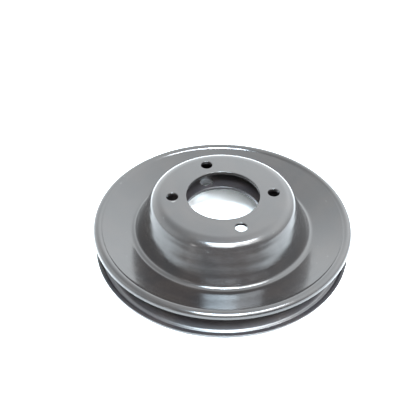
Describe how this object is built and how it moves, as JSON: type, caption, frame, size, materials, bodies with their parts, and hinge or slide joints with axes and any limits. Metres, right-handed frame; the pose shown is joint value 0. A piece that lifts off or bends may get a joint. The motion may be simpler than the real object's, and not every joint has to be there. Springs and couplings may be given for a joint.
{
  "type": "v belt pulley",
  "caption": "Pressed steel V belt pulley: two spot-welded sheets form the belt groove, a domed hub face and an inner hub plate, with a pilot bore and a rectangle of bolt holes.",
  "frame": {"origin": "on the pulley's axis in the plane that the rear rim bead rests on", "axes": "+Z along the axis out of the front hub face, +X along the longer side of the bolt hole rectangle"},
  "size_m": [0.148, 0.148, 0.0375],
  "materials": {
    "front_paint": "satin black paint",
    "rear_paint": "satin black paint",
    "weld_metal": "fused steel"
  },
  "bodies": {
    "root": {"front_sheet": "front_paint", "rear_sheet": "rear_paint", "spot_welds": "weld_metal"}
  },
  "joints": []
}
